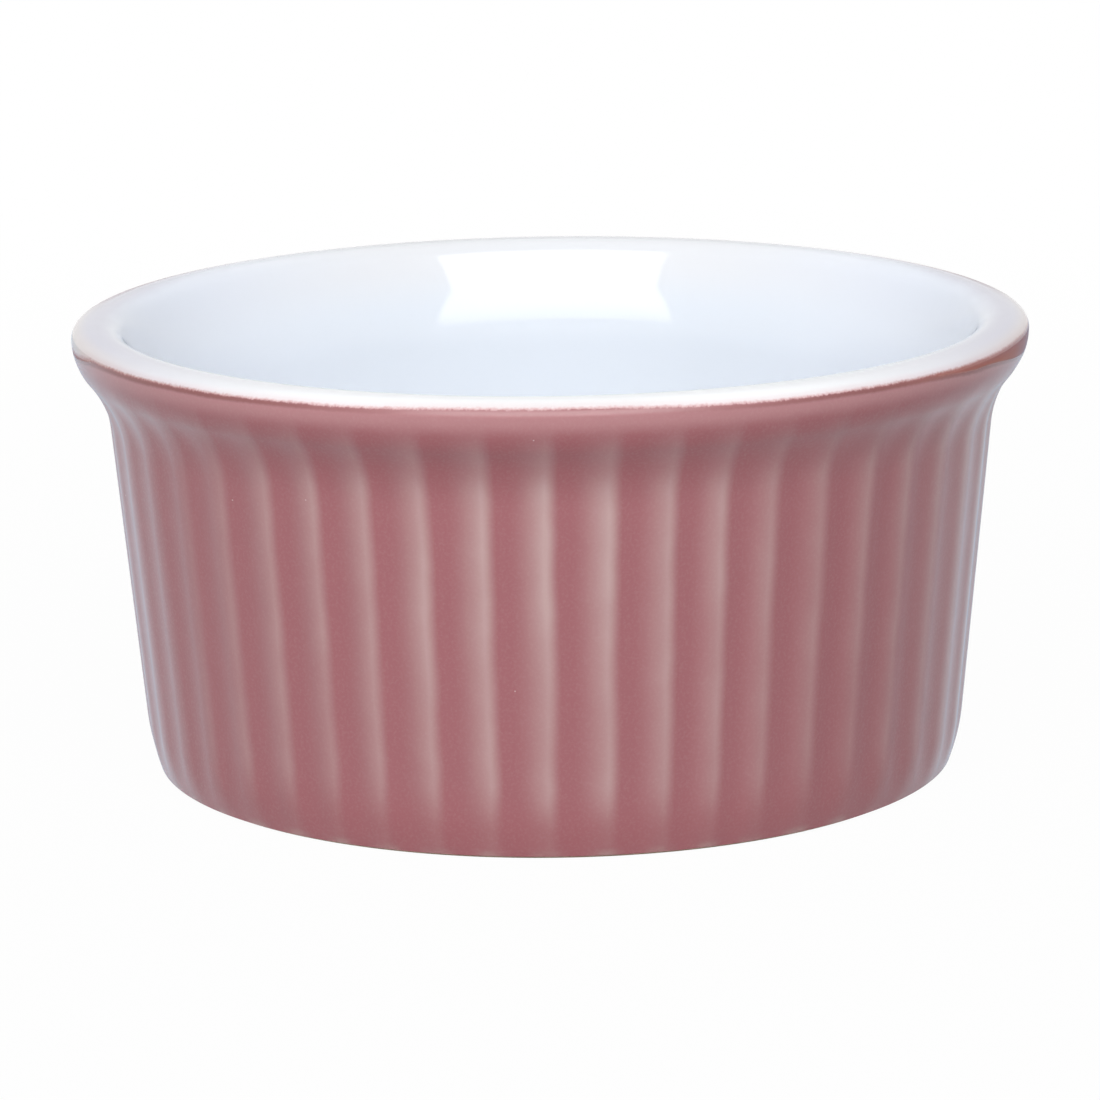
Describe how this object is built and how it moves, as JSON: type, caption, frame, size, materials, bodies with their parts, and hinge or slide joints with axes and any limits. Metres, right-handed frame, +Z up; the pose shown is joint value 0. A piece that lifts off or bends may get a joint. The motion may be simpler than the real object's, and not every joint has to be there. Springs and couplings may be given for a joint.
{
  "type": "ramekin",
  "caption": "Round fluted ramekin with straight tapered walls, a flared smooth lip and a bare foot ring, white glazed inside and dusty pink outside.",
  "frame": {"origin": "centre of the foot ring on the surface the dish stands on", "axes": "+Z up along the axis of the dish, -Y towards the viewer of the picture, with one ridge facing -Y"},
  "size_m": [0.105, 0.105, 0.05],
  "materials": {
    "stoneware": "bare fired clay, matte",
    "white_glaze": "glossy",
    "pink_glaze": "semi-gloss",
    "base_coat": "semi-gloss"
  },
  "bodies": {
    "root": {"stoneware_body": "stoneware", "liner_glaze": "white_glaze", "outer_glaze": "pink_glaze", "base_glaze": "base_coat"}
  },
  "joints": []
}
